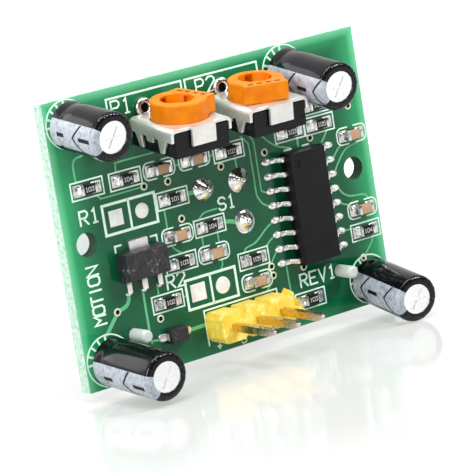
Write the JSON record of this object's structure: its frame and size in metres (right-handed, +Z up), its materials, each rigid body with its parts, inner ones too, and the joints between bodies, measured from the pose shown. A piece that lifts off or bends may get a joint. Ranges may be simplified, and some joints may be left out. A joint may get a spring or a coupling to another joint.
{
  "type": "motion sensor module",
  "caption": "Small green circuit board with a round white lens dome and infrared detector on one side, and trimmers, capacitors, a controller chip and a pin header on the other.",
  "frame": {"origin": "midpoint of the two mounting holes, on the component face of the board", "axes": "+X along the long edge of the board, +Y from the component face towards the lens dome, +Z up the short edge towards the trimmers"},
  "size_m": [0.0322, 0.0243, 0.0251],
  "materials": {
    "board": "green solder mask over woven glass laminate, matte to satin",
    "tinned": "bright solder and tinned copper",
    "lens_white": "milky translucent moulded plastic, satin",
    "detector_metal": "nickel-plated steel, satin",
    "window": "dark infrared filter, smooth",
    "gilt": "gold-plated metal",
    "ceramic_white": "white ceramic, matte",
    "element": "metallised pyroelectric ceramic",
    "transistor": "black epoxy",
    "trimmer_black": "black moulded plastic, satin",
    "trimmer_plate": "bright plated steel sheet",
    "rotor_orange": "orange moulded plastic, satin",
    "carbon": "carbon resistance track, matte",
    "cap_aluminium": "bright aluminium",
    "cap_sleeve": "black shrink sleeve with a pale polarity stripe, glossy",
    "rubber": "black rubber seal",
    "winding": "foil and paper roll",
    "chip_black": "black moulded epoxy, matte",
    "resistor_black": "black glass-coated chip face",
    "ceramic_tan": "tan ceramic, matte",
    "header_yellow": "yellow moulded plastic, satin"
  },
  "bodies": {
    "board": {"circuit_board": "board", "option_pads": "tinned", "lens": "lens_white", "detector_base": "detector_metal", "detector_can": "detector_metal", "detector_window": "window", "detector_leads": "gilt", "detector_carrier": "ceramic_white", "detector_elements": "element", "detector_transistor": "transistor", "detector_solder": "tinned", "trimmer_1_base": "trimmer_black", "trimmer_1_cover": "trimmer_plate", "trimmer_1_track": "carbon", "trimmer_1_terminals": "tinned", "trimmer_2_base": "trimmer_black", "trimmer_2_cover": "trimmer_plate", "trimmer_2_track": "carbon", "trimmer_2_terminals": "tinned", "capacitor_1_can": "cap_aluminium", "capacitor_1_sleeve": "cap_sleeve", "capacitor_1_bung": "rubber", "capacitor_1_winding": "winding", "capacitor_1_leads": "tinned", "capacitor_2_can": "cap_aluminium", "capacitor_2_sleeve": "cap_sleeve", "capacitor_2_bung": "rubber", "capacitor_2_winding": "winding", "capacitor_2_leads": "tinned", "capacitor_3_can": "cap_aluminium", "capacitor_3_sleeve": "cap_sleeve", "capacitor_3_bung": "rubber", "capacitor_3_winding": "winding", "capacitor_3_leads": "tinned", "capacitor_4_can": "cap_aluminium", "capacitor_4_sleeve": "cap_sleeve", "capacitor_4_bung": "rubber", "capacitor_4_winding": "winding", "capacitor_4_leads": "tinned", "controller_body": "chip_black", "controller_leads": "tinned", "regulator_body": "chip_black", "regulator_leads": "tinned", "diode_body": "chip_black", "diode_terminals": "tinned", "resistor_bodies": "resistor_black", "resistor_terminals": "tinned", "ceramic_capacitor_bodies": "ceramic_tan", "ceramic_capacitor_terminals": "tinned", "header_housing": "header_yellow", "header_pins": "gilt"},
    "trimmer_1_rotor": {"trimmer_1_rotor": "rotor_orange", "trimmer_1_wiper": "gilt"},
    "trimmer_2_rotor": {"trimmer_2_rotor": "rotor_orange", "trimmer_2_wiper": "gilt"}
  },
  "joints": [
    {"name": "trimmer_1_turn", "type": "hinge", "parent": "board", "child": "trimmer_1_rotor", "pos_m": [-0.00523, -0.00341, 0.0089], "axis": [0, -0.165, 0.9863], "range_deg": [-105, 105]},
    {"name": "trimmer_2_turn", "type": "hinge", "parent": "board", "child": "trimmer_2_rotor", "pos_m": [0.00272, -0.00341, 0.0089], "axis": [0, -0.165, 0.9863], "range_deg": [-105, 105]}
  ]
}
